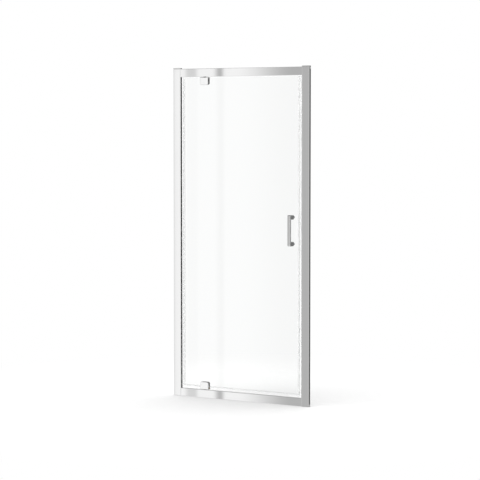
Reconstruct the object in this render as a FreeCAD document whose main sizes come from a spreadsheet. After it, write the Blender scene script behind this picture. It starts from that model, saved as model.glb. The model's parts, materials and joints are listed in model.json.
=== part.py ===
import FreeCAD, Part
import os
import re
import Sketcher
from enum import IntEnum
from FreeCAD import Vector

# A framed pivot shower door for an alcove. One pane of glass turns on a pin at its top and a pin at
# its bottom, inside a frame of two posts, a head rail and a sill rail. The posts telescope over
# channels that are screwed to the walls.
#
# X runs across the doorway, with the handle on the + side. Y is depth, with the room on the - side
# and the shower on the + side. Z is up. The origin is the middle of the sill rail's underside.

# Driving sizes in millimetres: name, value, meaning.
SIZES = (
    ("door_width", 900, "over both posts, set at its narrowest"),
    ("door_height", 1900, "floor to the top of the post caps"),
    ("post_width", 48, "face of a post"),
    ("post_depth", 20, "depth of a post"),
    ("post_wall", 2, "wall of a post"),
    ("post_round", 3, "rounding of a post's edges beside the door"),
    ("lip_round", 1.4, "rounding of a post's edges beside the wall"),
    ("cap_height", 9, "top cap"),
    ("cap_round", 1.2, "rounding of a cap's rim"),
    ("foot_height", 3, "foot cap"),
    ("plug_height", 9, "plug of a cap inside its post"),
    ("plug_gap", 0.3, "plug to the inside of the post"),
    ("slide_gap", 0.2, "between the sliding faces of post, channel and clamp nut"),
    ("channel_reach", 35, "wall channel, wall to the flange ends"),
    ("channel_wall", 1.8, "wall of a wall channel"),
    ("channel_end_gap", 2, "wall channel to the plugs of the caps"),
    ("adjust_range", 20, "how far a post slides on its wall channel"),
    ("wall_hole", 5.5, "wall screw hole"),
    ("wall_hole_inset", 96, "end wall screw holes to the ends of the channel"),
    ("clamp_wall_inset", 9, "clamp screw to the wall face"),
    ("clamp_end_inset", 336, "end clamp screws to the ends of the channel"),
    ("clamp_screw", 4, "clamp screw shank"),
    ("clamp_hole", 4.4, "clamp screw hole in the post"),
    ("clamp_head", 8, "clamp screw head"),
    ("clamp_head_height", 2.4, "clamp screw head"),
    ("nut_width", 13, "clamp nut, across the door"),
    ("nut_height", 20, "clamp nut, up"),
    ("nut_thickness", 3, "clamp nut, in depth"),
    ("screw_fit", 0.05, "radial room round a screw in its thread"),
    ("screw_tip", 0.6, "screw end beyond its nut"),
    ("rail_depth", 16, "both rails"),
    ("rail_wall", 1.6, "wall of a rail"),
    ("rail_round", 1.5, "rounding of a rail's long edges"),
    ("head_drop", 5.5, "head rail's top below the caps' tops"),
    ("head_height", 47, "head rail"),
    ("sill_height", 46, "sill rail"),
    ("port_spacing", 20, "between the two screw ports of a rail"),
    ("port_web", 7, "thickness of the web round a screw port"),
    ("rail_screw", 4, "rail screw shank"),
    ("rail_screw_length", 25, "rail screw under its head"),
    ("rail_screw_head", 7.6, "rail screw head"),
    ("rail_screw_head_height", 2.4, "rail screw head"),
    ("rail_screw_hole", 4.4, "rail screw hole in a post"),
    ("pivot_inset", 162, "left post to the pivot axis"),
    ("pivot_gap", 2.5, "rail to pivot block"),
    ("pin_diameter", 8, "pivot pin"),
    ("pin_fit", 0.05, "radial room round a pivot pin"),
    ("bush_diameter", 11.6, "bush in the rail"),
    ("bush_length", 9, "bush below its flange"),
    ("bush_fit", 0.05, "radial room round a bush in its rail"),
    ("flange_diameter", 15, "bush flange and washer"),
    ("flange_thickness", 1.5, "bush flange"),
    ("washer_thickness", 0.8, "washer on the pivot block"),
    ("block_width", 54, "pivot block"),
    ("block_height", 44, "pivot block"),
    ("block_round", 9, "rounded corners of a pivot block, away from the rail"),
    ("block_edge", 1.2, "rounding of a pivot cover's front rim"),
    ("plate_thickness", 7.7, "front cover and back plate of a pivot block"),
    ("gasket_thickness", 0.8, "gasket between glass and plate"),
    ("gasket_margin", 0.6, "gasket inside the rim of its plate"),
    ("core_width", 30, "pivot core"),
    ("core_height", 24, "pivot core"),
    ("core_depth", 14, "pivot core"),
    ("core_gap", 0.1, "core to its recess in a plate"),
    ("notch_clear", 2, "core to the cut-out in the glass"),
    ("notch_round", 5, "inner corners of the cut-out"),
    ("pivot_screw", 5, "pivot block screw shank"),
    ("pivot_screw_spacing", 21, "between the two screws of a pivot block"),
    ("pivot_screw_depth", 12, "screws below the pivot block's end"),
    ("pivot_screw_head", 9, "pivot block screw head"),
    ("pivot_screw_head_height", 2.8, "pivot block screw head"),
    ("head_gap", 0.1, "radial and end room round a sunk screw head"),
    ("cover_skin", 1.2, "metal left in front of a pivot screw's tip"),
    ("glass_thickness", 6, "glass"),
    ("hinge_gap", 14, "left post to the glass"),
    ("closing_gap", 14, "glass to the right post"),
    ("glass_foot_gap", 16, "sill rail to the glass"),
    ("glass_head_gap", 4.5, "glass to the head rail"),
    ("seal_wall", 1, "wall of a seal"),
    ("seal_fit", 0.1, "seal to the glass or magnet that it holds"),
    ("seal_grip", 11.5, "how far a side seal reaches over the glass"),
    ("drip_grip", 7.5, "how far a drip seal reaches over the glass"),
    ("seal_foot_gap", 4, "side seals above the sill rail"),
    ("seal_joint", 0.3, "between seals that meet, and between a seal and a pivot block"),
    ("bulb_diameter", 10.5, "hollow bulb of the side seal"),
    ("lip_gap", 1.5, "drip seal above the sill rail"),
    ("lip_splay", 1.5, "how far the drip seal's front lip leans out"),
    ("strike_depth", 10, "strike strip, in depth"),
    ("strike_thickness", 5, "strike strip, off the post"),
    ("strike_gap", 0.5, "closing seal to the strike strip"),
    ("magnet_depth", 6, "both magnet strips, in depth"),
    ("magnet_thickness", 3, "both magnet strips, across the door"),
    ("handle_inset", 47, "glass edge to the middle of the handle"),
    ("handle_bottom", 896, "handle's lower end above the floor"),
    ("handle_length", 174, "handle, end to end"),
    ("handle_width", 18, "handle, across the door"),
    ("handle_bar", 12, "handle bar, in depth"),
    ("handle_reach", 42, "handle's front off its washers"),
    ("handle_leg", 25, "leg of the handle, along the handle"),
    ("handle_corner", 6, "outer corners of the handle"),
    ("handle_inner_corner", 3, "inner corners of the handle"),
    ("handle_edge", 1.6, "rounding of the handle's long edges"),
    ("handle_screw", 6, "handle screw shank"),
    ("handle_screw_grip", 18, "handle screw inside its leg"),
    ("handle_screw_head", 11, "handle screw head"),
    ("handle_screw_head_height", 3, "handle screw head"),
    ("handle_hole", 12, "handle hole in the glass"),
    ("handle_hole_fit", 0.05, "radial room round a sleeve"),
    ("screw_clear", 0.25, "radial room round a screw where it has no thread"),
    ("handle_washer", 17.6, "clear washer between handle and glass"),
    ("handle_washer_thickness", 0.8, "clear washer"),
    ("rosette_diameter", 18, "rosette behind the glass"),
    ("rosette_thickness", 5, "rosette"),
    ("rosette_recess", 3.5, "recess of a rosette for the screw head"),
    ("button_rim", 0.7, "rim of the button that closes a rosette"),
    ("button_rise", 1, "dome of the button above its rim"),
    ("button_taper", 2.5, "how far the dome draws in"),
    ("button_plug", 0.3, "plug of the button in the recess"),
)

WALL_HOLES = 4
CLAMPS = 3

doc = FreeCAD.newDocument("PivotShowerDoor")
sheet = doc.addObject("Spreadsheet::Sheet", "Sizes")
for row, (alias, value, meaning) in enumerate(SIZES, start=1):
    sheet.set(f"A{row}", alias)
    sheet.set(f"B{row}", str(value))
    sheet.setAlias(f"B{row}", alias)
    sheet.set(f"C{row}", meaning)
doc.recompute()

SIZE_NAMES = re.compile(r"\b(" + "|".join(size[0] for size in SIZES) + r")\b")


def formula(text):
    """An expression on the sheet's cells, from one that names them bare."""
    return SIZE_NAMES.sub(r"Sizes.\1", text)


# Places worked out from the driving sizes, as text for expressions.
WALL = "(door_width / 2)"
JAMB = "(door_width / 2 - post_width)"
POST_TOP = "(door_height - cap_height)"
POST_FACE = "(post_depth / 2)"
HEAD_UNDER = "(door_height - head_drop - head_height)"
CHANNEL_FACE = "(post_depth / 2 - post_wall - slide_gap)"
CHANNEL_LOW = "(foot_height + plug_height + channel_end_gap)"
CHANNEL_HIGH = "(door_height - cap_height - plug_height - channel_end_gap)"
NUT_FACE = "(post_depth / 2 - post_wall - 2 * slide_gap - channel_wall)"
CLAMP_X = "(door_width / 2 - clamp_wall_inset)"
PIVOT_X = "(pivot_inset - door_width / 2 + post_width)"
GLASS_FACE = "(glass_thickness / 2)"
GLASS_LEFT = "(hinge_gap - door_width / 2 + post_width)"
GLASS_RIGHT = "(door_width / 2 - post_width - closing_gap)"
GLASS_LOW = "(sill_height + glass_foot_gap)"
GLASS_HIGH = "(door_height - head_drop - head_height - glass_head_gap)"
PLATE_INSIDE = "(glass_thickness / 2 + gasket_thickness)"
PLATE_OUTSIDE = "(glass_thickness / 2 + gasket_thickness + plate_thickness)"
SEAL_INSIDE = "(glass_thickness / 2 + seal_fit)"
SEAL_OUTSIDE = "(glass_thickness / 2 + seal_fit + seal_wall)"
SEAL_LOW = "(sill_height + seal_foot_gap)"
STRIKE_FACE = "(door_width / 2 - post_width - strike_thickness)"
SEAL_FACE = "(door_width / 2 - post_width - strike_thickness - strike_gap)"
HANDLE_X = "(door_width / 2 - post_width - closing_gap - handle_inset)"
HANDLE_TOP = "(handle_bottom + handle_length)"
HANDLE_BACK = "(glass_thickness / 2 + handle_washer_thickness)"
HANDLE_FRONT = "(glass_thickness / 2 + handle_washer_thickness + handle_reach)"
ROSETTE_FLOOR = "(glass_thickness / 2 + handle_washer_thickness + rosette_thickness - rosette_recess)"
ROSETTE_FACE = "(glass_thickness / 2 + handle_washer_thickness + rosette_thickness)"

# The body's own origin planes. The sign says whether the plane's normal follows the world axis.
PLANES = {"XY": ("XY_Plane", 1), "XZ": ("XZ_Plane", -1), "YZ": ("YZ_Plane", 1)}

bodies = []


class Point(IntEnum):
    """How a sketch counts the points of a line or arc."""

    START = 1
    END = 2
    CENTRE = 3


def new_body(label):
    """An empty body for one sub-part; its label names its file."""
    body = doc.addObject("PartDesign::Body", label)
    body.Label = label
    bodies.append(body)
    return body


def new_sketch(body, plane, level, shift=("0", "0")):
    """A sketch on one of the body's planes, at a level along the world axis across it."""
    role, sign = PLANES[plane]
    sketch = body.newObject("Sketcher::SketchObject", body.Name + "_sketch")
    support = next(feature for feature in body.Origin.OriginFeatures if feature.Role == role)
    sketch.AttachmentSupport = (support, [""])
    sketch.MapMode = "FlatFace"
    sketch.setExpression("AttachmentOffset.Base.x", formula(shift[0]))
    sketch.setExpression("AttachmentOffset.Base.y", formula(shift[1]))
    sketch.setExpression("AttachmentOffset.Base.z", formula(f"{sign} * ({level})"))
    return sketch


def bind(sketch, index, text):
    sketch.setExpression(f"Constraints[{index}]", formula(text))


def fix_point(sketch, geometry, vertex, across, up):
    """Ties a point of a sketch to its origin, the start of line -1, by two formulas."""
    for kind, text in (("DistanceX", across), ("DistanceY", up)):
        rule = Sketcher.Constraint(kind, -1, Point.START, geometry, vertex, 1.0)
        bind(sketch, sketch.addConstraint(rule), text)


def outline(*points):
    """A closed outline of straight sides through points given as two formulas each."""

    def draw(sketch):
        first = sketch.GeometryCount
        count = len(points)
        corners = Part.Circle(Vector(0, 0, 0), Vector(0, 0, 1), 10).toShape().discretize(count + 1)
        for start, end in zip(corners, corners[1:]):
            sketch.addGeometry(Part.LineSegment(start, end), False)
        for index in range(count):
            follower = first + (index + 1) % count
            rule = Sketcher.Constraint("Coincident", first + index, Point.END, follower, Point.START)
            sketch.addConstraint(rule)
        for index, (across, up) in enumerate(points):
            fix_point(sketch, first + index, Point.START, across, up)

    return draw


def box(left, right, low, high):
    """An upright rectangle."""
    return outline((left, low), (right, low), (right, high), (left, high))


def hole(across, up, diameter):
    """A circle."""

    def draw(sketch):
        index = sketch.addGeometry(Part.Circle(Vector(0, 0, 0), Vector(0, 0, 1), 1), False)
        fix_point(sketch, index, Point.CENTRE, across, up)
        bind(sketch, sketch.addConstraint(Sketcher.Constraint("Diameter", index, 2.0)), diameter)

    return draw


def solid(body, plane, low, high, *loops):
    """Pads loops from one level to a higher one along the world axis across the plane."""
    sketch = new_sketch(body, plane, low)
    for loop in loops:
        loop(sketch)
    pad = body.newObject("PartDesign::Pad", body.Name + "_pad")
    pad.Profile = sketch
    pad.setExpression("Length", formula(f"({high}) - ({low})"))
    pad.Reversed = PLANES[plane][1] < 0
    doc.recompute()
    return pad


def cut(body, plane, low, high, *loops):
    """Cuts loops out of the body between two levels."""
    before = body.Shape.Volume
    sketch = new_sketch(body, plane, low)
    for loop in loops:
        loop(sketch)
    pocket = body.newObject("PartDesign::Pocket", body.Name + "_pocket")
    pocket.Profile = sketch
    pocket.setExpression("Length", formula(f"({high}) - ({low})"))
    pocket.Reversed = PLANES[plane][1] > 0
    doc.recompute()
    if body.Shape.Volume >= before:
        raise RuntimeError(f"{pocket.Label} cuts nothing")
    return pocket


def turned(body, axis, centre, profile):
    """Revolves a profile of (radius, along the axis) points about a line through centre (x, y, z)."""
    x, y, z = centre
    if axis == "X":
        sketch = new_sketch(body, "XZ", y, (x, z))
        points = [(along, radius) for radius, along in profile]
        reference = "H_Axis"
    elif axis == "Y":
        sketch = new_sketch(body, "XY", z, (x, y))
        points = profile
        reference = "V_Axis"
    else:
        sketch = new_sketch(body, "XZ", y, (x, z))
        points = profile
        reference = "V_Axis"
    outline(*points)(sketch)
    revolution = body.newObject("PartDesign::Revolution", body.Name + "_revolution")
    revolution.Profile = sketch
    revolution.ReferenceAxis = (sketch, [reference])
    revolution.Angle = 360
    doc.recompute()
    return revolution


def round_edges(body, radius, chosen):
    """Fillets the edges of the body so far that a test chooses."""
    base = body.Tip
    limits = base.Shape.BoundBox
    names = [f"Edge{number}" for number, edge in enumerate(base.Shape.Edges, 1) if chosen(edge, limits)]
    if not names:
        raise RuntimeError(f"{body.Label}: no edges to round")
    fillet = body.newObject("PartDesign::Fillet", body.Name + "_fillet")
    fillet.Base = (base, names)
    fillet.setExpression("Radius", formula(radius))
    doc.recompute()
    return fillet


def spread(edge, axis):
    """The lowest and highest place of an edge's ends along an axis."""
    places = [getattr(vertex.Point, axis) for vertex in edge.Vertexes]
    return min(places), max(places)


def runs_along(edge, axis):
    """Whether a straight edge runs along an axis."""
    others = [other for other in "xyz" if other != axis]
    return all(spread(edge, other)[1] - spread(edge, other)[0] < 1e-6 for other in others)


def lies_at(edge, axis, place):
    """Whether a whole edge lies at one place along an axis."""
    low, high = spread(edge, axis)
    return abs(low - place) < 1e-6 and abs(high - place) < 1e-6


def mirror(side, text):
    """A place on the left (-1) or right (+1) of the door from the same place on the right."""
    return f"{side} * ({text})"


def side_span(side, near, far):
    """The lower and higher X of a stretch that is given from the middle outward."""
    if side > 0:
        return near, far
    return mirror(side, far), mirror(side, near)


def screw(head, head_height, shank, start, way, length):
    """The half profile of a screw whose head sits on start and whose shank runs the given way."""
    head_end = f"{start} - {way} * ({head_height})"
    tip = f"{start} + {way} * ({length})"
    return [
        ("0", head_end),
        (f"{head} / 2", head_end),
        (f"{head} / 2", start),
        (f"{shank} / 2", start),
        (f"{shank} / 2", tip),
        ("0", tip),
    ]


def ring(inner, outer, low, high):
    """The half profile of a ring; inner and outer are diameters."""
    return [
        (f"({inner}) / 2", low),
        (f"({outer}) / 2", low),
        (f"({outer}) / 2", high),
        (f"({inner}) / 2", high),
    ]


def rail_port_heights(base, height):
    """The heights of a rail's two screw ports."""
    return [f"({base} + {height} / 2 {sign} port_spacing / 2)" for sign in "-+"]


def even_heights(inset, count):
    """Evenly spaced heights along a wall channel, the end ones an inset from its ends."""
    pitch = f"({CHANNEL_HIGH} - {CHANNEL_LOW} - 2 * {inset}) / {count - 1}"
    return [f"({CHANNEL_LOW} + {inset} + {index} * {pitch})" for index in range(count)]


SILL_PORTS = rail_port_heights("0", "sill_height")
HEAD_PORTS = rail_port_heights(HEAD_UNDER, "head_height")
CLAMP_HEIGHTS = even_heights("clamp_end_inset", CLAMPS)
WALL_HOLE_HEIGHTS = even_heights("wall_hole_inset", WALL_HOLES)


def make_wall_channel(label, side):
    """A channel that is screwed to the wall, open towards the door."""
    body = new_body(label)
    reach = mirror(side, "door_width / 2 - channel_reach")
    wall = mirror(side, WALL)
    web = mirror(side, "door_width / 2 - channel_wall")
    inner_face = f"({CHANNEL_FACE} - channel_wall)"
    solid(
        body, "XY", CHANNEL_LOW, CHANNEL_HIGH,
        outline(
            (reach, f"-{CHANNEL_FACE}"),
            (wall, f"-{CHANNEL_FACE}"),
            (wall, CHANNEL_FACE),
            (reach, CHANNEL_FACE),
            (reach, inner_face),
            (web, inner_face),
            (web, f"-{inner_face}"),
            (reach, f"-{inner_face}"),
        ),
    )
    low, high = side_span(side, "door_width / 2 - channel_wall", WALL)
    cut(body, "YZ", low, high, *[hole("0", height, "wall_hole") for height in WALL_HOLE_HEIGHTS])
    first, last = side_span(side, f"{CLAMP_X} - adjust_range", CLAMP_X)
    half = "clamp_hole / 2"
    slots = [box(first, last, f"{height} - {half}", f"{height} + {half}") for height in CLAMP_HEIGHTS]
    slot_ends = [hole(end, height, "clamp_hole") for height in CLAMP_HEIGHTS for end in (first, last)]
    cut(body, "XZ", inner_face, CHANNEL_FACE, *slots)
    cut(body, "XZ", inner_face, CHANNEL_FACE, *slot_ends)


def make_post(label, side):
    """A hollow post, open towards the wall, that slides over its wall channel."""
    body = new_body(label)
    jamb = mirror(side, JAMB)
    web = mirror(side, f"{JAMB} + post_wall")
    wall = mirror(side, WALL)
    inside = f"({POST_FACE} - post_wall)"
    solid(
        body, "XY", "foot_height", POST_TOP,
        outline(
            (jamb, f"-{POST_FACE}"),
            (wall, f"-{POST_FACE}"),
            (wall, f"-{inside}"),
            (web, f"-{inside}"),
            (web, inside),
            (wall, inside),
            (wall, POST_FACE),
            (jamb, POST_FACE),
        ),
    )
    round_upright_corners(body, side)
    low, high = side_span(side, JAMB, f"{JAMB} + post_wall")
    ports = SILL_PORTS + HEAD_PORTS
    cut(body, "YZ", low, high, *[hole("0", height, "rail_screw_hole") for height in ports])
    clamps = [hole(mirror(side, CLAMP_X), height, "clamp_hole") for height in CLAMP_HEIGHTS]
    cut(body, "XZ", inside, POST_FACE, *clamps)


def round_upright_corners(body, side):
    """Rounds the upright corners: large beside the door and small beside the wall."""

    def beside_door(edge, limits):
        place = limits.XMin if side > 0 else limits.XMax
        corner = lies_at(edge, "y", limits.YMin) or lies_at(edge, "y", limits.YMax)
        return runs_along(edge, "z") and lies_at(edge, "x", place) and corner

    def beside_wall(edge, limits):
        place = limits.XMax if side > 0 else limits.XMin
        corner = lies_at(edge, "y", limits.YMin) or lies_at(edge, "y", limits.YMax)
        return runs_along(edge, "z") and lies_at(edge, "x", place) and corner

    round_edges(body, "post_round", beside_door)
    round_edges(body, "lip_round", beside_wall)


def make_cap(label, side, at_top):
    """A cap that closes one end of a post, with a plug inside the post."""
    body = new_body(label)
    edges = [mirror(side, JAMB), mirror(side, WALL)]
    low, high = (POST_TOP, "door_height") if at_top else ("0", "foot_height")
    solid(body, "XY", low, high, box(edges[0], edges[1], f"-{POST_FACE}", POST_FACE))
    round_upright_corners(body, side)
    if at_top:
        round_edges(body, "cap_round", lambda edge, limits: lies_at(edge, "z", limits.ZMax))
        low, high = f"{POST_TOP} - plug_height", POST_TOP
    else:
        low, high = "foot_height", "foot_height + plug_height"
    plug_edges = [
        mirror(side, f"{JAMB} + post_wall + rail_screw_head_height + plug_gap"),
        mirror(side, f"{WALL} - channel_wall - plug_gap"),
    ]
    plug_face = f"({POST_FACE} - post_wall - plug_gap)"
    solid(body, "XY", low, high, box(plug_edges[0], plug_edges[1], f"-{plug_face}", plug_face))


def make_rail(label, base, height, ports, bush_low, bush_high):
    """A hollow rail between the posts, with two webs that hold the screw ports."""
    body = new_body(label)
    face = "(rail_depth / 2)"
    inside = "(rail_depth / 2 - rail_wall)"
    top = f"({base} + {height})"
    web_low, web_high = ports
    hollows = (
        (f"{base} + rail_wall", f"{web_low} - port_web / 2"),
        (f"{web_low} + port_web / 2", f"{web_high} - port_web / 2"),
        (f"{web_high} + port_web / 2", f"{top} - rail_wall"),
    )
    solid(
        body, "YZ", f"-{JAMB}", JAMB,
        box(f"-{face}", face, base, top),
        *[box(f"-{inside}", inside, low, high) for low, high in hollows],
        *[hole("0", port, "rail_screw + 2 * screw_fit") for port in ports],
    )

    def long_corner(edge, limits):
        on_face = lies_at(edge, "y", limits.YMin) or lies_at(edge, "y", limits.YMax)
        on_end = lies_at(edge, "z", limits.ZMin) or lies_at(edge, "z", limits.ZMax)
        return runs_along(edge, "x") and on_face and on_end

    round_edges(body, "rail_round", long_corner)
    cut(body, "XY", bush_low, bush_high, hole(PIVOT_X, "0", "bush_diameter + 2 * bush_fit"))


def make_rail_screws(label, ports):
    """The screws that hold one rail, driven from inside both posts."""
    body = new_body(label)
    for side in (-1, 1):
        seat = mirror(side, f"{JAMB} + post_wall")
        for port in ports:
            profile = screw(
                "rail_screw_head", "rail_screw_head_height", "rail_screw",
                seat, -side, "rail_screw_length",
            )
            turned(body, "X", ("0", "0", port), profile)


def make_clamps(screws_label, nuts_label, side):
    """The screws that lock a post on its wall channel, and the nuts inside the channel."""
    screws = new_body(screws_label)
    length = f"{POST_FACE} - {NUT_FACE} + nut_thickness + screw_tip"
    for height in CLAMP_HEIGHTS:
        profile = screw("clamp_head", "clamp_head_height", "clamp_screw", POST_FACE, -1, length)
        turned(screws, "Y", (mirror(side, CLAMP_X), "0", height), profile)
    nuts = new_body(nuts_label)
    left = f"{mirror(side, CLAMP_X)} - nut_width / 2"
    right = f"{mirror(side, CLAMP_X)} + nut_width / 2"
    for height in CLAMP_HEIGHTS:
        solid(
            nuts, "XZ", f"{NUT_FACE} - nut_thickness", NUT_FACE,
            box(left, right, f"{height} - nut_height / 2", f"{height} + nut_height / 2"),
            hole(mirror(side, CLAMP_X), height, "clamp_screw + 2 * screw_fit"),
        )


def make_strike():
    """The strip on the right post that the door closes against, and its magnet."""
    strip = new_body("strike_strip")
    magnet_left = f"({STRIKE_FACE} + seal_wall)"
    magnet_right = f"({magnet_left} + magnet_thickness)"
    inside = "(magnet_depth / 2 + seal_fit)"
    solid(
        strip, "XY", SEAL_LOW, GLASS_HIGH,
        box(STRIKE_FACE, JAMB, "-strike_depth / 2", "strike_depth / 2"),
        box(f"{magnet_left} - seal_fit", f"{magnet_right} + seal_fit", f"-{inside}", inside),
    )
    magnet = new_body("strike_magnet")
    solid(
        magnet, "XY", SEAL_LOW, GLASS_HIGH,
        box(magnet_left, magnet_right, "-magnet_depth / 2", "magnet_depth / 2"),
    )


def make_glass():
    """The pane, with a cut-out at each pivot and two holes for the handle."""
    body = new_body("glass_panel")
    half = "(core_width / 2 + notch_clear)"
    left = f"{PIVOT_X} - {half}"
    right = f"{PIVOT_X} + {half}"
    low_notch = "(sill_height + pivot_gap + core_height + notch_clear)"
    high_notch = f"({HEAD_UNDER} - pivot_gap - core_height - notch_clear)"
    solid(
        body, "XZ", f"-{GLASS_FACE}", GLASS_FACE,
        outline(
            (GLASS_LEFT, GLASS_LOW),
            (left, GLASS_LOW),
            (left, low_notch),
            (right, low_notch),
            (right, GLASS_LOW),
            (GLASS_RIGHT, GLASS_LOW),
            (GLASS_RIGHT, GLASS_HIGH),
            (right, GLASS_HIGH),
            (right, high_notch),
            (left, high_notch),
            (left, GLASS_HIGH),
            (GLASS_LEFT, GLASS_HIGH),
        ),
    )

    def notch_corner(edge, limits):
        height = spread(edge, "z")[0]
        return runs_along(edge, "y") and limits.ZMin + 1e-6 < height < limits.ZMax - 1e-6

    round_edges(body, "notch_round", notch_corner)
    holes = [hole(HANDLE_X, height, "handle_hole") for height in HANDLE_LEGS]
    cut(body, "XZ", f"-{GLASS_FACE}", GLASS_FACE, *holes)


def make_side_seal():
    """The clear seal on the hinge edge of the glass, with a hollow bulb towards the left post."""
    body = new_body("side_seal")
    grip = f"({GLASS_LEFT} + seal_grip)"
    slot_floor = f"({GLASS_LEFT} - seal_fit)"
    back = f"({GLASS_LEFT} - seal_fit - seal_wall)"
    bulb_centre = f"({slot_floor} - seal_wall / 2 - bulb_diameter / 2)"
    solid(
        body, "XY", SEAL_LOW, GLASS_HIGH,
        outline(
            (grip, f"-{SEAL_INSIDE}"),
            (grip, f"-{SEAL_OUTSIDE}"),
            (back, f"-{SEAL_OUTSIDE}"),
            (back, SEAL_OUTSIDE),
            (grip, SEAL_OUTSIDE),
            (grip, SEAL_INSIDE),
            (slot_floor, SEAL_INSIDE),
            (slot_floor, f"-{SEAL_INSIDE}"),
        ),
    )
    solid(
        body, "XY", SEAL_LOW, GLASS_HIGH,
        hole(bulb_centre, "0", "bulb_diameter"),
        hole(bulb_centre, "0", "bulb_diameter - 2 * seal_wall"),
    )


def make_closing_seal():
    """The clear seal on the handle edge of the glass, with a chamber for its magnet."""
    seal = new_body("closing_seal")
    grip = f"({GLASS_RIGHT} - seal_grip)"
    slot_floor = f"({GLASS_RIGHT} + seal_fit)"
    magnet_right = f"({SEAL_FACE} - seal_wall)"
    magnet_left = f"({magnet_right} - magnet_thickness)"
    inside = "(magnet_depth / 2 + seal_fit)"
    solid(
        seal, "XY", SEAL_LOW, GLASS_HIGH,
        outline(
            (grip, f"-{SEAL_INSIDE}"),
            (grip, f"-{SEAL_OUTSIDE}"),
            (SEAL_FACE, f"-{SEAL_OUTSIDE}"),
            (SEAL_FACE, SEAL_OUTSIDE),
            (grip, SEAL_OUTSIDE),
            (grip, SEAL_INSIDE),
            (slot_floor, SEAL_INSIDE),
            (slot_floor, f"-{SEAL_INSIDE}"),
        ),
        box(
            f"{slot_floor} + seal_wall", f"{magnet_left} - seal_fit - seal_wall",
            f"-{SEAL_INSIDE}", SEAL_INSIDE,
        ),
        box(f"{magnet_left} - seal_fit", f"{magnet_right} + seal_fit", f"-{inside}", inside),
    )
    magnet = new_body("closing_magnet")
    solid(
        magnet, "XY", SEAL_LOW, GLASS_HIGH,
        box(magnet_left, magnet_right, "-magnet_depth / 2", "magnet_depth / 2"),
    )


def make_drip_seal(label, left, right):
    """A length of the seal under the glass, with a leaning front lip and an upright rear lip."""
    body = new_body(label)
    top = f"({GLASS_LOW} + drip_grip)"
    slot_floor = f"({GLASS_LOW} - seal_fit)"
    base = f"({GLASS_LOW} - seal_fit - seal_wall)"
    tip = "(sill_height + lip_gap)"
    solid(
        body, "YZ", left, right,
        outline(
            (f"-{SEAL_INSIDE}", top),
            (f"-{SEAL_OUTSIDE}", top),
            (f"-{SEAL_OUTSIDE}", base),
            (f"-{SEAL_OUTSIDE} - lip_splay", tip),
            (f"-{SEAL_INSIDE} - lip_splay", tip),
            (f"-{SEAL_INSIDE}", base),
            (SEAL_INSIDE, base),
            (SEAL_INSIDE, tip),
            (SEAL_OUTSIDE, tip),
            (SEAL_OUTSIDE, top),
            (SEAL_INSIDE, top),
            (SEAL_INSIDE, slot_floor),
            (f"-{SEAL_INSIDE}", slot_floor),
        ),
    )


class Pivot:
    """One of the two pivots. Depths are measured from the rail's face into the door."""

    def __init__(self, name, rail_face, way):
        self.name = name
        self.rail_face = rail_face
        self.way = way

    def height(self, depth):
        return f"({self.rail_face} - {self.way} * ({depth}))"

    def levels(self, near, far):
        """The lower and higher height of a stretch from a near depth to a far one."""
        if self.way > 0:
            return self.height(far), self.height(near)
        return self.height(near), self.height(far)

    def block_outline(self, margin="0"):
        half = f"(block_width / 2 - {margin})"
        return (
            f"{PIVOT_X} - {half}", f"{PIVOT_X} + {half}",
            self.height(f"pivot_gap + {margin}"), self.height(f"pivot_gap + block_height - {margin}"),
        )

    def screw_places(self):
        depth = self.height("pivot_gap + pivot_screw_depth")
        return [(f"{PIVOT_X} {sign} pivot_screw_spacing / 2", depth) for sign in "-+"]


def make_pivot_plate(pivot, label, face):
    """The front cover (face -1) or the back plate (face +1) of a pivot block."""
    body = new_body(label)
    span = side_span(face, PLATE_INSIDE, PLATE_OUTSIDE)
    solid(body, "XZ", span[0], span[1], box(*pivot.block_outline()))

    def free_corner(edge, limits):
        far = limits.ZMin if pivot.way > 0 else limits.ZMax
        return runs_along(edge, "y") and lies_at(edge, "z", far)

    round_edges(body, "block_round", free_corner)

    def outer_rim(edge, limits):
        return lies_at(edge, "y", limits.YMin if face < 0 else limits.YMax)

    round_edges(body, "block_edge", outer_rim)
    recess = side_span(face, PLATE_INSIDE, "core_depth / 2 + core_gap")
    half = "(core_width / 2 + core_gap)"
    cut(
        body, "XZ", recess[0], recess[1],
        box(
            f"{PIVOT_X} - {half}", f"{PIVOT_X} + {half}",
            pivot.height("0"), pivot.height("pivot_gap + core_height + core_gap"),
        ),
    )
    bores = [hole(x, z, "pivot_screw + 2 * screw_fit") for x, z in pivot.screw_places()]
    if face < 0:
        cut(body, "XZ", f"cover_skin - {PLATE_OUTSIDE}", "-core_depth / 2", *bores)
    else:
        cut(body, "XZ", "core_depth / 2", PLATE_OUTSIDE, *bores)
        sinks = [hole(x, z, "pivot_screw_head + 2 * head_gap") for x, z in pivot.screw_places()]
        cut(body, "XZ", f"{PLATE_OUTSIDE} - pivot_screw_head_height", PLATE_OUTSIDE, *sinks)


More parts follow.
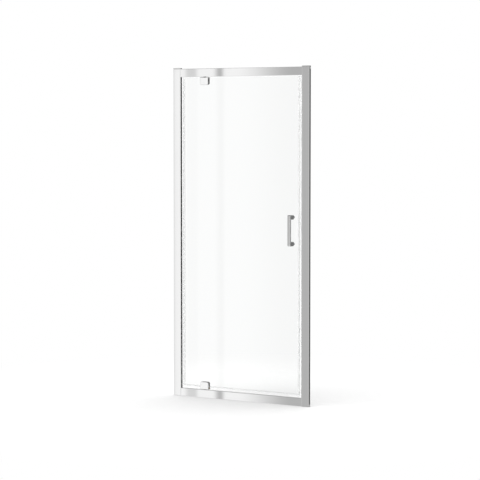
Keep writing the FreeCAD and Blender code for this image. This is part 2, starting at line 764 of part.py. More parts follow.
def make_pivot(pivot, bush_label):
    """Everything of one pivot: the clamped block, its pin and washer, and the bush in the rail."""
    make_pivot_plate(pivot, f"{pivot.name}_pivot_cover", -1)
    make_pivot_plate(pivot, f"{pivot.name}_pivot_back_plate", 1)

    core = new_body(f"{pivot.name}_pivot_core")
    low, high = pivot.levels("pivot_gap", "pivot_gap + core_height")
    left = f"{PIVOT_X} - core_width / 2"
    right = f"{PIVOT_X} + core_width / 2"
    solid(core, "XY", low, high, box(left, right, "-core_depth / 2", "core_depth / 2"))
    cut(core, "XY", low, high, hole(PIVOT_X, "0", "pin_diameter + 2 * pin_fit"))
    bores = [hole(x, z, "pivot_screw + 2 * screw_fit") for x, z in pivot.screw_places()]
    cut(core, "XZ", "-core_depth / 2", "core_depth / 2", *bores)

    gaskets = new_body(f"{pivot.name}_pivot_gaskets")
    left, right, near, far = pivot.block_outline("gasket_margin")
    half = "(core_width / 2 + notch_clear)"
    notch = pivot.height("pivot_gap + core_height + notch_clear")
    glass_edge = pivot.height("glass_head_gap" if pivot.way > 0 else "glass_foot_gap")
    for face in (-1, 1):
        low, high = side_span(face, GLASS_FACE, PLATE_INSIDE)
        solid(
            gaskets, "XZ", low, high,
            outline(
                (left, glass_edge),
                (f"{PIVOT_X} - {half}", glass_edge),
                (f"{PIVOT_X} - {half}", notch),
                (f"{PIVOT_X} + {half}", notch),
                (f"{PIVOT_X} + {half}", glass_edge),
                (right, glass_edge),
                (right, f"{far} + {pivot.way} * block_round"),
                (f"{right} - block_round", far),
                (f"{left} + block_round", far),
                (left, f"{far} + {pivot.way} * block_round"),
            ),
        )

    screws = new_body(f"{pivot.name}_pivot_screws")
    seat = f"({PLATE_OUTSIDE} - pivot_screw_head_height)"
    length = f"{seat} + {PLATE_OUTSIDE} - cover_skin - head_gap"
    for x, z in pivot.screw_places():
        profile = screw(
            "pivot_screw_head", "pivot_screw_head_height - head_gap", "pivot_screw", seat, -1, length
        )
        turned(screws, "Y", (x, "0", z), profile)

    centre = (PIVOT_X, "0", "0")
    pin = new_body(f"{pivot.name}_pivot_pin")
    ends = [pivot.height("-bush_length"), pivot.height("pivot_gap + core_height")]
    radius = "pin_diameter / 2"
    turned(pin, "Z", centre, [("0", ends[0]), (radius, ends[0]), (radius, ends[1]), ("0", ends[1])])

    washer = new_body(f"{pivot.name}_pivot_washer")
    bore = "pin_diameter + 2 * pin_fit"
    near, far = pivot.height("pivot_gap - washer_thickness"), pivot.height("pivot_gap")
    turned(washer, "Z", centre, ring(bore, "flange_diameter", near, far))

    bush = new_body(bush_label)
    inner_end = pivot.height("-bush_length")
    rail_face = pivot.height("0")
    flange = pivot.height("flange_thickness")
    turned(
        bush, "Z", centre,
        [
            (f"({bore}) / 2", inner_end),
            ("bush_diameter / 2", inner_end),
            ("bush_diameter / 2", rail_face),
            ("flange_diameter / 2", rail_face),
            ("flange_diameter / 2", flange),
            (f"({bore}) / 2", flange),
        ],
    )


HANDLE_LEGS = ["(handle_bottom + handle_leg / 2)", f"({HANDLE_TOP} - handle_leg / 2)"]


def make_handle():
    """The D-shaped pull, cast in one piece with its two legs."""
    body = new_body("door_handle")
    front = f"-{HANDLE_FRONT}"
    inside = f"handle_bar - {HANDLE_FRONT}"
    back = f"-{HANDLE_BACK}"
    solid(
        body, "YZ", f"{HANDLE_X} - handle_width / 2", f"{HANDLE_X} + handle_width / 2",
        outline(
            (front, "handle_bottom"),
            (back, "handle_bottom"),
            (back, "handle_bottom + handle_leg"),
            (inside, "handle_bottom + handle_leg"),
            (inside, f"{HANDLE_TOP} - handle_leg"),
            (back, f"{HANDLE_TOP} - handle_leg"),
            (back, HANDLE_TOP),
            (front, HANDLE_TOP),
        ),
    )

    def outer_corner(edge, limits):
        return runs_along(edge, "x") and lies_at(edge, "y", limits.YMin)

    def inner_corner(edge, limits):
        depth = spread(edge, "y")[0]
        height = spread(edge, "z")[0]
        inner = limits.YMin + 1e-6 < depth < limits.YMax - 1e-6
        return runs_along(edge, "x") and inner and limits.ZMin + 1e-6 < height < limits.ZMax - 1e-6

    round_edges(body, "handle_inner_corner", inner_corner)
    round_edges(body, "handle_corner", outer_corner)

    def long_edge(edge, limits):
        return lies_at(edge, "x", limits.XMin) or lies_at(edge, "x", limits.XMax)

    round_edges(body, "handle_edge", long_edge)
    bores = [hole(HANDLE_X, height, "handle_screw + 2 * screw_fit") for height in HANDLE_LEGS]
    cut(body, "XZ", f"-{HANDLE_BACK} - handle_screw_grip - screw_tip", f"-{HANDLE_BACK}", *bores)


def make_handle_fixings():
    """The washers, sleeves, rosettes, screws and buttons that hold the handle through the glass."""
    centres = [(HANDLE_X, "0", height) for height in HANDLE_LEGS]
    bore = "handle_screw + 2 * screw_clear"

    washers = new_body("handle_glass_washers")
    sleeves = new_body("handle_sleeves")
    rosettes = new_body("handle_rosettes")
    screws = new_body("handle_screws")
    buttons = new_body("handle_buttons")
    recess = "(handle_screw_head + 2 * screw_clear)"
    length = f"{ROSETTE_FLOOR} + {HANDLE_BACK} + handle_screw_grip"
    for centre in centres:
        for low, high in ((f"-{HANDLE_BACK}", f"-{GLASS_FACE}"), (GLASS_FACE, HANDLE_BACK)):
            turned(washers, "Y", centre, ring(bore, "handle_washer", low, high))
        sleeve = ring(bore, "handle_hole - 2 * handle_hole_fit", f"-{GLASS_FACE}", GLASS_FACE)
        turned(sleeves, "Y", centre, sleeve)
        turned(
            rosettes, "Y", centre,
            [
                (f"({bore}) / 2", HANDLE_BACK),
                ("rosette_diameter / 2", HANDLE_BACK),
                ("rosette_diameter / 2", ROSETTE_FACE),
                (f"{recess} / 2", ROSETTE_FACE),
                (f"{recess} / 2", ROSETTE_FLOOR),
                (f"({bore}) / 2", ROSETTE_FLOOR),
            ],
        )
        profile = screw(
            "handle_screw_head", "handle_screw_head_height", "handle_screw", ROSETTE_FLOOR, -1, length
        )
        turned(screws, "Y", centre, profile)
        turned(
            buttons, "Y", centre,
            [
                ("0", f"{ROSETTE_FACE} - button_plug"),
                (f"{recess} / 2 - screw_fit", f"{ROSETTE_FACE} - button_plug"),
                (f"{recess} / 2 - screw_fit", ROSETTE_FACE),
                ("rosette_diameter / 2", ROSETTE_FACE),
                ("rosette_diameter / 2", f"{ROSETTE_FACE} + button_rim"),
                ("rosette_diameter / 2 - button_taper", f"{ROSETTE_FACE} + button_rim + button_rise"),
                ("0", f"{ROSETTE_FACE} + button_rim + button_rise"),
            ],
        )


make_wall_channel("left_wall_channel", -1)
make_wall_channel("right_wall_channel", 1)
make_post("left_post", -1)
make_post("right_post", 1)
make_cap("left_top_cap", -1, True)
make_cap("right_top_cap", 1, True)
make_cap("left_foot_cap", -1, False)
make_cap("right_foot_cap", 1, False)
make_rail("head_rail", HEAD_UNDER, "head_height", HEAD_PORTS, HEAD_UNDER, f"{HEAD_UNDER} + rail_wall")
make_rail("sill_rail", "0", "sill_height", SILL_PORTS, "sill_height - rail_wall", "sill_height")
make_rail_screws("head_rail_screws", HEAD_PORTS)
make_rail_screws("sill_rail_screws", SILL_PORTS)
make_clamps("left_clamp_screws", "left_clamp_nuts", -1)
make_clamps("right_clamp_screws", "right_clamp_nuts", 1)
make_strike()
make_glass()
make_side_seal()
make_closing_seal()
BLOCK_LEFT = f"({PIVOT_X} - block_width / 2)"
BLOCK_RIGHT = f"({PIVOT_X} + block_width / 2)"
DRIP_LEFT = f"({GLASS_LEFT} + seal_grip + seal_joint)"
DRIP_RIGHT = f"({GLASS_RIGHT} - seal_grip - seal_joint)"
make_drip_seal("left_drip_seal", DRIP_LEFT, f"{BLOCK_LEFT} - seal_joint")
make_drip_seal("right_drip_seal", f"{BLOCK_RIGHT} + seal_joint", DRIP_RIGHT)
make_pivot(Pivot("upper", HEAD_UNDER, 1), "upper_bush")
make_pivot(Pivot("lower", "sill_height", -1), "lower_bush")
make_handle()
make_handle_fixings()

doc.recompute()
for item in doc.Objects:
    if "Invalid" in item.State or "Error" in item.State:
        raise RuntimeError(f"{item.Label}: {item.State}")
for body in bodies:
    if body.Shape.isNull() or not body.Shape.isValid() or not body.Shape.Solids:
        raise RuntimeError(f"{body.Label} has no valid solid")

os.makedirs("parts", exist_ok=True)
for body in bodies:
    body.Shape.exportStep(f"parts/{body.Label}.step")
    limits = body.Shape.BoundBox
    print(f"{body.Label}: {len(body.Shape.Solids)} solids, {body.Shape.Volume:.0f} mm3, {limits}")
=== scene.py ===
import json
import math

import bmesh
import bpy
from mathutils import Matrix, Vector


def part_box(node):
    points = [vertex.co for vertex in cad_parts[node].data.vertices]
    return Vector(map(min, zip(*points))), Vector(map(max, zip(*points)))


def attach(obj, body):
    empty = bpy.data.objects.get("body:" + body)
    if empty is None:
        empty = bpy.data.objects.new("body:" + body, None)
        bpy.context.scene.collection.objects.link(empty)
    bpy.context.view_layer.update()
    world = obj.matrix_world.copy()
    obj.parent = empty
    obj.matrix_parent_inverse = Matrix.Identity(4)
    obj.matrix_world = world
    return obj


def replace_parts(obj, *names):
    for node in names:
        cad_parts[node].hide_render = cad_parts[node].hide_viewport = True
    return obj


# A framed pivot shower door in a white studio. Metres; X runs across the doorway with the handle
# on the + side, Y is depth with the room on the - side, and Z is up.

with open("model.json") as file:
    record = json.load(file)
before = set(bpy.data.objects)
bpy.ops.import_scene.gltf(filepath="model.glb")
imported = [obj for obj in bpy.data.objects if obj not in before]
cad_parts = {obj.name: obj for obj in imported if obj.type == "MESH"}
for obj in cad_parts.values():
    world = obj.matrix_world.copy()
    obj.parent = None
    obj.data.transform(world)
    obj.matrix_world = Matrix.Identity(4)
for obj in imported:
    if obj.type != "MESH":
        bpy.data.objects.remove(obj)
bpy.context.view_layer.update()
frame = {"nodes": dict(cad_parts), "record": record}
nodes = frame["nodes"]
MM = 0.001
WHITE = (1, 1, 1, 1)


# ---------------------------------------------------------------- shader wiring

class Wire:
    """A node's output. Plain arithmetic on it adds Math nodes to its tree."""

    def __init__(self, tree, socket):
        self.tree = tree
        self.socket = socket

    def node(self, kind, settings=None, inputs=None, output=0):
        """Adds a node: its settings come first, then the values or wires of its inputs."""
        return add_node(self.tree, kind, settings, inputs, output)

    def maths(self, operation, *values):
        """Adds a Math node that works on these values."""
        return self.node("ShaderNodeMath", {"operation": operation}, dict(enumerate(values)))

    def __add__(self, other):
        return self.maths("ADD", self, other)

    def __sub__(self, other):
        return self.maths("SUBTRACT", self, other)

    def __mul__(self, other):
        return self.maths("MULTIPLY", self, other)

    def __pow__(self, other):
        return self.maths("POWER", self, other)

    def __rsub__(self, other):
        return self.maths("SUBTRACT", other, self)

    __radd__ = __add__
    __rmul__ = __mul__

    def between(self, low, high):
        """0 at low and below, 1 at high and above, with a soft step between."""
        settings = {"interpolation_type": "SMOOTHSTEP"}
        inputs = {"Value": self, "From Min": low, "From Max": high}
        return self.node("ShaderNodeMapRange", settings, inputs)

    def within(self, rise, fall):
        """1 from the end of the rise to the start of the fall, and 0 outside both."""
        return self.between(*rise) * (1 - self.between(*fall))

    def towards(self, level, share):
        """This value, moved to a level by a share from 0 to 1."""
        return self * (1 - share) + level * share

    def axis(self, name):
        """One coordinate of a place or direction: X, Y or Z."""
        return self.node("ShaderNodeSeparateXYZ", None, {0: self}, output=name)

    def stretched(self, x, y, z):
        """A position with its three axes scaled."""
        return self.node("ShaderNodeVectorMath", {"operation": "MULTIPLY"}, {0: self, 1: (x, y, z)})

    def noise(self, scale, detail, roughness=0.5):
        """Cloudy variation from 0 to 1 at this position."""
        inputs = {"Vector": self, "Scale": scale, "Detail": detail, "Roughness": roughness}
        return self.node("ShaderNodeTexNoise", None, inputs)

    def bump(self, distance, strength):
        """A surface normal, from a height of 0 to 1 that stands for this many metres."""
        inputs = {"Height": self, "Distance": distance, "Strength": strength}
        return self.node("ShaderNodeBump", None, inputs)

    def tint(self, dark, light):
        """A colour between two others."""
        inputs = {"Factor": self, "A": (*dark, 1), "B": (*light, 1)}
        return self.node("ShaderNodeMix", {"data_type": "RGBA"}, inputs, output="Result")

    def as_grey(self):
        """The grey of this level."""
        return self.tint(grey(0), grey(1))


def add_node(tree, kind, settings=None, inputs=None, output=0):
    """Adds a node to a tree and returns one of its outputs."""
    node = tree.nodes.new(kind)
    for name, value in (settings or {}).items():
        setattr(node, name, value)
    sockets, outputs = node.inputs, node.outputs
    if kind == "ShaderNodeMix":
        # It holds a set of sockets for each type of data under the same names, and one is enabled.
        sockets = {socket.name: socket for socket in sockets if socket.enabled}
        outputs = {socket.name: socket for socket in outputs if socket.enabled}
    for name, value in (inputs or {}).items():
        if isinstance(value, Wire):
            tree.links.new(value.socket, sockets[name])
        else:
            sockets[name].default_value = value
    return Wire(tree, outputs[output])


def empty_tree(owner):
    """The node tree of a material or world, cleared."""
    owner.use_nodes = True
    owner.node_tree.nodes.clear()
    return owner.node_tree


def end_tree(tree, shader, kind="ShaderNodeOutputMaterial"):
    """Wires a shader to the surface of the tree's output."""
    end = tree.nodes.new(kind)
    tree.links.new(shader.socket, end.inputs["Surface"])


def new_finish(name, surface):
    """A material whose Principled BSDF takes the sockets that surface(place) returns."""
    material = bpy.data.materials.new(name)
    tree = empty_tree(material)
    place = add_node(tree, "ShaderNodeTexCoord", output="Object")
    end_tree(tree, add_node(tree, "ShaderNodeBsdfPrincipled", None, surface(place)))
    return material


# ---------------------------------------------------------------- finishes

def grey(level):
    """A colour without hue."""
    return (level, level, level)


def streaks_along(axis, length, width):
    """Scales of a position that draw its noise out along one axis."""
    return [length if name == axis else width for name in "xyz"]


def over_the_glass(place):
    """1 where a place lies over the pane, 0 beyond its upright edges or under it."""
    low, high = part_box("glass_panel")
    soft = 0.5 * MM
    across = place.axis("X")
    beyond = across.maths("ABSOLUTE", across).between(high.x - soft, high.x + soft)
    return (1 - beyond) * place.axis("Z").between(low.z - 2 * soft, low.z)


def painted_top_shade(place):
    """1 on faces that look up, which the finishes paint darker as shade and make rougher, and 0 well
    above the handle.
    """
    tilt = (0.2, 0.6)
    height = (1.2, 1.3)
    looks_up = place.node("ShaderNodeTexCoord", output="Normal").axis("Z")
    return looks_up.between(*tilt) * (1 - place.axis("Z").between(*height))


def polished_extrusion(name, along):
    """Bright polished aluminium with the faint drawing lines of the die along one axis."""

    def surface(place):
        lines = place.stretched(*streaks_along(along, 0.4, 90)).noise(16, 3)
        smudge = place.noise(7, 3, 0.6)
        top_shade = painted_top_shade(place)
        return {
            # Faces that look up are painted much darker: painted shade, with a rougher finish there too.
            "Base Color": (lines * 0.03 + smudge * 0.02 + 0.88 - 0.60 * top_shade).as_grey(),
            "Metallic": 1.0,
            "Roughness": 0.025 + 0.03 * smudge + 0.15 * top_shade,
            "Normal": lines.bump(1e-6, 0.4),
        }

    return new_finish(name, surface)


def plated_cap_finish():
    """Bright plating over a moulded cap, with the moulding's faint ripple."""

    def surface(place):
        ripple = place.noise(160, 2)
        return {
            "Base Color": ripple.tint(grey(0.78), grey(0.84)),
            "Metallic": 1.0,
            "Roughness": 0.10 + 0.05 * place.noise(40, 2),
            "Normal": ripple.bump(6e-6, 0.5),
        }

    return new_finish("plated_cap", surface)


def chrome_finish():
    """Bright chrome, wiped but not quite clean."""

    def surface(place):
        smudge = place.noise(45, 4, 0.6)
        top_shade = painted_top_shade(place)
        return {
            # Faces that look up are painted much darker: painted shade, with a rougher finish there too.
            "Base Color": (smudge * 0.04 + 0.93 - 0.62 * top_shade).as_grey(),
            "Metallic": 1.0,
            "Roughness": 0.04 + 0.06 * smudge + 0.12 * top_shade,
        }

    return new_finish("chrome", surface)


def brass_finish():
    """Sawn and machined brass."""

    def surface(place):
        cuts = place.stretched(30, 30, 900).noise(1, 2)
        return {
            "Base Color": cuts.tint((0.58, 0.42, 0.17), (0.74, 0.56, 0.27)),
            "Metallic": 1.0,
            "Roughness": 0.25 + 0.15 * cuts,
            "Normal": cuts.bump(2e-5, 0.4),
        }

    return new_finish("machined_brass", surface)


def glass_finish():
    """Clear toughened glass with a trace of water film."""

    def surface(place):
        film = place.stretched(1, 1, 0.35).noise(9, 3, 0.6)
        return {
            "Base Color": (0.972, 0.978, 0.975, 1),
            "Transmission Weight": 1.0,
            "IOR": 1.5,
            "Roughness": 0.012 * film.between(0.45, 0.75),
        }

    return new_finish("toughened_glass", surface)


def ground_edge_finish():
    """The pane's machine-ground edges: frosted, and faintly green from the depth of glass behind."""

    def surface(place):
        grinding = place.noise(1800, 2)
        return {
            "Base Color": grinding.tint((0.88, 0.93, 0.91), (0.94, 0.97, 0.96)),
            "Transmission Weight": 0.25,
            "IOR": 1.5,
            "Roughness": 0.40 + 0.20 * grinding,
            "Normal": grinding.bump(2e-5, 0.4),
        }

    return new_finish("ground_glass_edge", surface)


def clear_seal_finish(name, along):
    """Flexible clear PVC with extrusion streaks along one axis; painted greyer and less clear, as
    painted shade, where it lies over the glass.
    """

    def surface(place):
        streaks = place.stretched(*streaks_along(along, 3, 400)).noise(1, 2)
        glass_overlap_shade = over_the_glass(place)
        edge_on = place.node("ShaderNodeLayerWeight", None, {"Blend": 0.5}, output="Facing")
        return {
            # Over the glass the seal is painted grey and made more opaque: painted shade.
            "Base Color": (glass_overlap_shade * 0.8 + streaks * 0.2).tint(grey(0.90), grey(0.66)),
            "Roughness": 0.16 + 0.14 * streaks,
            "Alpha": 0.012 + 0.15 * glass_overlap_shade + 0.04 * edge_on ** 3,
        }

    return new_finish(name, surface)


def grained_finish(name, scale, greys, smooth, spread, depth, strength=0.4, metallic=0.0):
    """A fine grain between two greys; its roughness lies between smooth and smooth + spread."""

    def surface(place):
        grain = place.noise(scale, 2)
        return {
            "Base Color": grain.tint(*(grey(level) for level in greys)),
            "Metallic": metallic,
            "Roughness": smooth + spread * grain,
            "Normal": grain.bump(depth, strength),
        }

    return new_finish(name, surface)


def steel_finish():
    """Stainless screws and pins, with turning marks."""
    return grained_finish(
        "stainless_steel", scale=1400, greys=(0.50, 0.66), smooth=0.20, spread=0.15, depth=1e-5,
        metallic=1.0,
    )


def magnet_finish():
    """White magnetic rubber strip."""
    return grained_finish(
        "magnet_strip", scale=900, greys=(0.92, 0.96), smooth=0.45, spread=0.2, depth=2e-5,
    )


def nylon_finish():
    """Dark moulded nylon."""
    return grained_finish(
        "dark_nylon", scale=1200, greys=(0.03, 0.055), smooth=0.35, spread=0.2, depth=1e-5,
    )


def gasket_finish():
    """Dark grey die-cut rubber."""
    return grained_finish(
        "gasket_rubber", scale=1500, greys=(0.04, 0.075), smooth=0.6, spread=0.2, depth=2e-5,
        strength=0.5,
    )


FINISHES = {
    "polished_frame": polished_extrusion("upright_aluminium", "z"),
    "plated_cap": plated_cap_finish(),
    "chrome": chrome_finish(),
    "brass": brass_finish(),
    "steel": steel_finish(),
    "glass": glass_finish(),
    "clear_seal": clear_seal_finish("upright_seal", "z"),
    "magnet": magnet_finish(),
    "nylon": nylon_finish(),
    "gasket_rubber": gasket_finish(),
}
# On rails and drip seals the die lines and streaks run across the doorway.
LEVEL_FINISHES = {
    "polished_frame": polished_extrusion("level_aluminium", "x"),
    "clear_seal": clear_seal_finish("level_seal", "x"),
}


def dress_nodes():
    """Gives every CAD piece the finish of its material slot, for its own direction."""
    for part in frame["record"]["subparts"]:
        low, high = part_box(part["node"])
        finish = FINISHES[part["material_slot"]]
        lies_level = high.x - low.x > high.z - low.z
        if lies_level:
            finish = LEVEL_FINISHES.get(part["material_slot"], finish)
        for slot in nodes[part["node"]].material_slots:
            slot.material = finish


# ---------------------------------------------------------------- outlines and skins

def full_turn(count):
    """Evenly spaced angles of a full turn."""
    return [math.radians(360 * step / count) for step in range(count)]


def circle(centre, radius, turns):
    """Points of a circle at these angles."""
    return [(centre[0] + radius * math.cos(turn), centre[1] + radius * math.sin(turn)) for turn in turns]


def corner_arc(centre, radius, start):
    """Points of a quarter circle, from start degrees anticlockwise."""
    steps = 6
    turns = [math.radians(start + 90 * step / steps) for step in range(steps + 1)]
    return circle(centre, radius, turns)


def skin(shell, loops):
    """Joins loops of equal length into one closed skin, with a face over each end."""
    for here, there in zip(loops, loops[1:]):
        for i in range(len(here)):
            shell.faces.new((here[i - 1], here[i], there[i], there[i - 1]))
    shell.faces.new(loops[0])
    shell.faces.new(reversed(loops[-1]))


def finish_skin(name, shell):
    """A mesh of closed skins, smooth apart from its edges."""
    sharp = math.radians(32)
    bmesh.ops.recalc_face_normals(shell, faces=shell.faces)
    for face in shell.faces:
        face.smooth = True
    for edge in shell.edges:
        edge.smooth = edge.calc_face_angle(0) < sharp
    mesh = bpy.data.meshes.new(name)
    shell.to_mesh(mesh)
    shell.free()
    return mesh


def add_object(name, data):
    """A new object in the scene."""
    thing = bpy.data.objects.new(name, data)
    bpy.context.scene.collection.objects.link(thing)
    return thing


def add_piece(name, mesh, body, finishes):
    """A piece that rides on one of the door's bodies."""
    piece = add_object(name, mesh)
    for finish in finishes:
        mesh.materials.append(finish)
    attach(piece, body)
    return piece


# ---------------------------------------------------------------- the pane

def pane_edge(low, high):
    """The pane's outline in X and Z, cut out with round corners at the two pivot cores."""
    core_low, core_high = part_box("lower_pivot_core")
    room, bend = 2 * MM, 5 * MM
    left, right = core_low.x - room, core_high.x + room
    foot_top = core_high.z + room
    head_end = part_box("upper_pivot_core")[0].z - room
    edge = [(low.x, low.z), (left, low.z)]
    edge += reversed(corner_arc((left + bend, foot_top - bend), bend, 90))
    edge += reversed(corner_arc((right - bend, foot_top - bend), bend, 0))
    edge += [(right, low.z), (high.x, low.z), (high.x, high.z), (right, high.z)]
    edge += reversed(corner_arc((right - bend, head_end + bend), bend, 270))
    edge += reversed(corner_arc((left + bend, head_end + bend), bend, 180))
    edge += [(left, high.z), (low.x, high.z)]
    return edge


def handle_holes():
    """The outlines in X and Z of the two holes for the handle's legs."""
    low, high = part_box("door_handle")
    leg, drill = 12.5 * MM, 6 * MM
    middle = (low.x + high.x) / 2
    return [circle((middle, height), drill, full_turn(48)) for height in (low.z + leg, high.z - leg)]


def filled_sheet(name, outlines, half_thickness, arris):
    """A flat mesh inside an outline and outside its holes, with an arris along every edge."""
    curve = bpy.data.curves.new(name, "CURVE")
    curve.dimensions = "2D"
    curve.fill_mode = "BOTH"
    curve.extrude = half_thickness - arris
    curve.bevel_depth = arris
    curve.bevel_resolution = 1
    curve.offset = -arris
    for points in outlines:
        spline = curve.splines.new("POLY")
        spline.points.add(len(points) - 1)
        for point, (across, up) in zip(spline.points, points):
            point.co = (across, up, 0, 1)
        spline.use_cyclic_u = True
    holder = bpy.data.objects.new(name, curve)
    mesh = bpy.data.meshes.new_from_object(holder)
    bpy.data.objects.remove(holder)
    bpy.data.curves.remove(curve)
    return mesh


def add_glass():
    """The pane with ground edges, cut out at the two pivots and drilled for the handle."""
    low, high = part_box("glass_panel")
    outlines = [pane_edge(low, high)] + handle_holes()
    mesh = filled_sheet("glass_outline", outlines, half_thickness=high.y, arris=0.5 * MM)
    weld = 1e-6
    upright = Matrix.Rotation(math.pi / 2, 3, "X")
    clear, ground = 0, 1
    shell = bmesh.new()
    shell.from_mesh(mesh)
    bmesh.ops.remove_doubles(shell, verts=shell.verts, dist=weld)
    bmesh.ops.rotate(shell, verts=shell.verts, cent=(0, 0, 0), matrix=upright)
    bmesh.ops.recalc_face_normals(shell, faces=shell.faces)
    for face in shell.faces:
        faces_out = abs(face.normal.y) > 0.999
        face.smooth = False
        face.material_index = clear if faces_out else ground
    mesh.materials.clear()
    shell.to_mesh(mesh)
    shell.free()
    pane = add_piece("ground_pane", mesh, "door", [FINISHES["glass"], ground_edge_finish()])
    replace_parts(pane, "glass_panel")


# ---------------------------------------------------------------- the pivot covers

def cover_outline(low, high, bends, inset):
    """A pivot cover's outline, moved in all round; bends are its lower and upper corner radii."""
    least = 0.1 * MM
    lower, upper = (max(bend, inset + least) for bend in bends)
    points = corner_arc((low.x + lower, low.z + lower), lower - inset, 180)
    points += corner_arc((high.x - lower, low.z + lower), lower - inset, 270)
    points += corner_arc((high.x - upper, high.z - upper), upper - inset, 0)
    points += corner_arc((low.x + upper, high.z - upper), upper - inset, 90)
    return points


def add_covers():
    """The two pivot covers with softly rounded front edges."""
    # The hold is a narrow flat ring inside the soft rim, which keeps the front's shading flat.
    soft, hold, steps = 2.6 * MM, 0.2 * MM, 8
    back_edge = 0.3 * MM
    round_bend, tight_bend = 9 * MM, 1.2 * MM
    for name, bends in (("upper", (round_bend, tight_bend)), ("lower", (tight_bend, round_bend))):
        low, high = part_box(f"{name}_pivot_cover")
        rings = [(high.y, back_edge), (high.y - back_edge, 0), (low.y + soft + hold, 0)]
        for step in range(steps + 1):
            turn = math.radians(90 * step / steps)
            rings.append((low.y + soft * (1 - math.sin(turn)), soft * (1 - math.cos(turn))))
        rings.append((low.y, soft + hold))
        shell = bmesh.new()
        skin(shell, [
            [shell.verts.new((x, y, z)) for x, z in cover_outline(low, high, bends, inset)]
            for y, inset in rings
        ])
        mesh = finish_skin(f"{name}_soft_cover", shell)
        cover = add_piece(f"{name}_soft_cover", mesh, "door", [FINISHES["chrome"]])
        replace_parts(cover, f"{name}_pivot_cover")


# ---------------------------------------------------------------- the screws

def hexagon(across):
    """The outline of a hexagonal socket: its reach at an angle."""
    def reach(turn):
        return across / 2 / math.cos((turn + math.pi / 6) % (math.pi / 3) - math.pi / 6)
    return reach


def cross(length, width):
    """The outline of a cross recess: its reach at an angle."""
    def reach(turn):
        off = abs((turn + math.pi / 4) % (math.pi / 2) - math.pi / 4)
        if math.tan(off) <= width / length:
            return length / 2 / math.cos(off)
        return width / 2 / math.sin(off)
    return reach


def thread(start, end, radius, depth, pitch):
    """Rings of a thread's ridges and grooves, in mm."""
    rings = []
    for i in range(round((end - start) / pitch)):
        rings += [(start + pitch * i, radius), (start + pitch * (i + 0.5), radius - depth)]
    return rings


def add_turned(shell, x, z, rings, turns):
    """Skins rings of (y, radius or outline), in mm, round an axis along Y and closes both ends."""
    loops = []
    for y, reach in rings:
        loop = []
        for turn in turns:
            radius = reach(turn) if callable(reach) else reach
            place = (x + radius * MM * math.cos(turn), y * MM, z + radius * MM * math.sin(turn))
            loop.append(shell.verts.new(place))
        loops.append(loop)
    skin(shell, loops)


def add_screws(name, node, body, places, rings, turns):
    """Screws with a driven head and a cut thread, in place of a node's plain ones."""
    shell = bmesh.new()
    for x, z in places:
        add_turned(shell, x, z, rings, turns)
    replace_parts(add_piece(name, finish_skin(name, shell), body, [FINISHES["steel"]]), node)


def add_clamp_screws():
    """Pan-head screws with a cross recess that lock each post on its wall channel; sizes in mm."""
    head = 4.0
    slot_length, slot_width = 4.2, 1.1
    slot_corner = math.atan(slot_width / slot_length)
    offsets = (math.radians(-45), math.radians(-30), -slot_corner, 0, slot_corner, math.radians(30))
    turns = [math.pi / 2 * quarter + offset for quarter in range(4) for offset in offsets]
    rings = [(2.2, 1.5)] + thread(2.7, 9.0, 2.0, 0.32, 0.7)
    rings += [(9.3, 2.0), (10.0, 2.0), (10.0, 3.75), (10.25, head), (10.9, 3.95), (11.6, 3.55)]
    rings += [(12.1, 2.95), (12.4, 2.3), (12.38, cross(slot_length, slot_width))]
    rings += [(11.2, cross(2.6, 0.9)), (11.0, 0.25)]
    for side in ("left", "right"):
        low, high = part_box(f"{side}_clamp_screws")
        heights = (low.z + head * MM, (low.z + high.z) / 2, high.z - head * MM)
        places = [((low.x + high.x) / 2, height) for height in heights]
        add_screws(f"{side}_pan_head_screws", f"{side}_clamp_screws", "frame", places, rings, turns)


def add_pivot_screws():
    """Socket-head screws sunk in the back plates of the two pivot blocks; sizes in mm."""
    head, key = 4.5, 4
    rings = [(-10.2, 2.0)] + thread(-9.7, -2.5, 2.5, 0.4, 0.8)
    rings += [(-2.0, 2.5), (8.7, 2.5), (8.7, 4.3), (8.9, head), (11.0, head), (11.3, 4.35), (11.4, 4.1)]
    rings += [(11.4, 2.55), (11.2, hexagon(key)), (9.7, hexagon(key)), (9.2, 0.3)]
    for name in ("upper", "lower"):
        low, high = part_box(f"{name}_pivot_screws")
        height = (low.z + high.z) / 2
        places = [(low.x + head * MM, height), (high.x - head * MM, height)]
        add_screws(f"{name}_socket_screws", f"{name}_pivot_screws", "door", places, rings, full_turn(24))


dress_nodes()
add_glass()
add_covers()
add_clamp_screws()
add_pivot_screws()


# ---------------------------------------------------------------- studio

def emission(tree, strength):
    """A white light of this strength."""
    return add_node(tree, "ShaderNodeEmission", None, {"Color": WHITE, "Strength": strength})


def blend(tree, share, first, second):
    """A shader between two others, the second by its share from 0 to 1."""
    return add_node(tree, "ShaderNodeMixShader", None, {0: share, 1: first, 2: second})


def seen_white(tree):
    """1 where the picture looks straight at something, in a mirror or through glass, else 0."""
    seen = add_node(tree, "ShaderNodeLightPath", output="Is Camera Ray")
    for name in ("Is Glossy Ray", "Is Transmission Ray"):
        seen = seen.maths("MAXIMUM", seen, add_node(tree, "ShaderNodeLightPath", output=name))
    return seen


def reflected(tree):
    """1 for what is seen by reflection, else 0."""
    return add_node(tree, "ShaderNodeLightPath", output="Glossy Depth").between(0, 0.5)


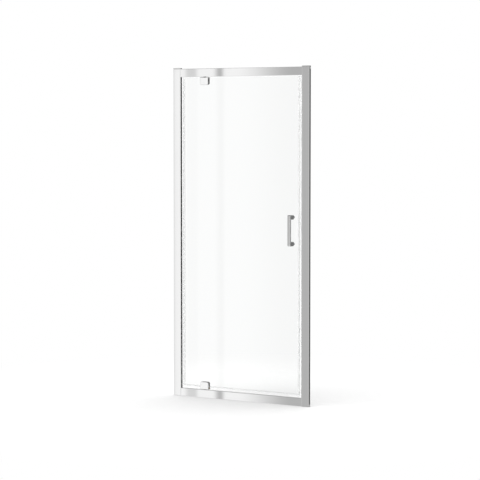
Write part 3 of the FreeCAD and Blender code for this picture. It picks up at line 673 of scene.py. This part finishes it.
def surround_light():
    """Bright in front with grey patches, greyer at the sides, underneath and overhead."""
    material = bpy.data.materials.new("surround_light")
    tree = empty_tree(material)
    x, y, z = (add_node(tree, "ShaderNodeTexCoord", output="Object").axis(name) for name in "XYZ")
    # Degrees round the door: 0 in front of it, + towards the hinge side and 180 behind it.
    bearing = x.maths("ARCTAN2", 0 - x, 0 - y) * (180 / math.pi)
    wide_patch = bearing.within((-6, 12), (23.8, 32.3))
    near_patch = bearing.within((33.5, 34.2), (34.3, 35.3))
    far_patch = bearing.within((37.2, 37.8), (38.7, 39.3))
    past_patches = bearing.between(40.45, 40.75)
    front = 0.985 - 0.50 * wide_patch - 0.50 * near_patch - 0.27 * far_patch - 0.27 * past_patches
    hinge_side = bearing.between(62, 78)
    hinge_level = 0.52 + 0.26 * bearing.between(100, 130)
    handle_side = 1 - bearing.between(-26, -12)
    handle_level = 0.78 + 0.08 * bearing.between(-120, -60)
    # Two dark strips stand behind the door, for faces towards the handle side to mirror, and a
    # dark canopy hangs high on the hinge side, for the rounded upper edges.
    jamb_strip = bearing.within((-157.5, -155.5), (-150.5, -148.5))
    handle_strip = bearing.within((-148, -146), (-142, -140))
    canopy = bearing.within((34, 46), (138, 150)) * z.between(1.9, 2.6)
    overhead = z.between(3.2, 4.6)
    underneath = 1 - z.between(-2.0, -0.8)
    level = front.towards(hinge_level, hinge_side).towards(handle_level, handle_side)
    level = level.towards(0.015, jamb_strip).towards(0.12, handle_strip)
    level = level.towards(0.42, overhead).towards(0.02, canopy).towards(0.66, underneath)
    light = blend(tree, level, emission(tree, 0), emission(tree, 1))
    clear = add_node(tree, "ShaderNodeBsdfTransparent")
    end_tree(tree, blend(tree, reflected(tree), clear, light))
    return material


def add_surround():
    """A closed drum of light and shade round the door, which only its reflections show."""
    radius, low, high = 3.0, -3.0, 5.0
    mesh = bpy.data.meshes.new("surround")
    drum = bmesh.new()
    bmesh.ops.create_cone(
        drum, cap_ends=True, segments=180, radius1=radius, radius2=radius, depth=high - low,
        matrix=Matrix.Translation((0, 0, (high + low) / 2)),
    )
    drum.to_mesh(mesh)
    drum.free()
    surround = add_object("surround", mesh)
    mesh.materials.append(surround_light())
    for ray in ("camera", "diffuse", "volume_scatter", "shadow"):
        setattr(surround, "visible_" + ray, False)


def floor_paper():
    """Paper that keeps the door's faint shadow and fades into the white beyond."""
    material = bpy.data.materials.new("studio_floor")
    tree = empty_tree(material)
    white = seen_white(tree)
    paper = {
        "Base Color": (*grey(0.33), 1),
        "Roughness": 1.0,
        "Specular IOR Level": 0.0,
        "Emission Color": WHITE,
        "Emission Strength": white * 0.24,
    }
    place = add_node(tree, "ShaderNodeTexCoord", output="Object")
    distance = place.node("ShaderNodeVectorMath", {"operation": "LENGTH"}, {0: place}, output="Value")
    near = add_node(tree, "ShaderNodeBsdfPrincipled", None, paper)
    surface = blend(tree, distance.between(0.9, 2.2), near, emission(tree, 0.6 + 0.4 * white))
    clear = add_node(tree, "ShaderNodeBsdfTransparent")
    end_tree(tree, blend(tree, reflected(tree), surface, clear))
    return material


def add_floor():
    """A wide white floor, which reflections look through."""
    half_side = 60
    mesh = bpy.data.meshes.new("floor")
    grid = bmesh.new()
    bmesh.ops.create_grid(grid, x_segments=1, y_segments=1, size=half_side)
    grid.to_mesh(mesh)
    grid.free()
    floor = add_object("floor", mesh)
    floor.visible_glossy = False
    mesh.materials.append(floor_paper())


def add_world():
    """White where it is seen, and brighter where it only lights."""
    world = bpy.data.worlds.new("studio")
    bpy.context.scene.world = world
    tree = empty_tree(world)
    inputs = {"Color": WHITE, "Strength": 2.4 - 1.4 * seen_white(tree)}
    end_tree(tree, add_node(tree, "ShaderNodeBackground", None, inputs), "ShaderNodeOutputWorld")


def add_lamp(name, place, aim, size, power):
    """A square soft lamp, which metal doesn't mirror and glass doesn't show."""
    lamp = bpy.data.lights.new(name, "AREA")
    lamp.shape = "SQUARE"
    lamp.size = size
    lamp.energy = power
    holder = add_object(name, lamp)
    holder.location = place
    holder.rotation_mode = "QUATERNION"
    holder.rotation_quaternion = (Vector(aim) - Vector(place)).to_track_quat("-Z", "Y")
    holder.visible_glossy = False
    holder.visible_transmission = False


def add_camera():
    """The photograph's viewpoint: right of centre, a little above mid height, with a long lens."""
    azimuth = math.radians(31.56)
    elevation = math.radians(3.46)
    distance = 10.469
    target = Vector((0.0016, -0.010, 0.9205))
    level = math.cos(elevation)
    back = Vector((math.sin(azimuth) * level, -math.cos(azimuth) * level, math.sin(elevation)))
    data = bpy.data.cameras.new("camera")
    data.lens = 138.3
    data.sensor_width = 36
    data.clip_start = 0.5
    data.clip_end = 200
    camera = add_object("camera", data)
    camera.location = target + back * distance
    camera.rotation_mode = "QUATERNION"
    camera.rotation_quaternion = (-back).to_track_quat("-Z", "Y")
    bpy.context.scene.camera = camera


door_middle = (0, 0, 0.9)
add_surround()
add_floor()
add_world()
add_lamp("key_lamp", (-3.5, -4.5, 5.0), door_middle, size=3.0, power=160)
add_lamp("fill_lamp", (4.0, 3.5, 4.0), door_middle, size=3.0, power=70)
add_camera()
bpy.context.scene.view_settings.view_transform = "Standard"
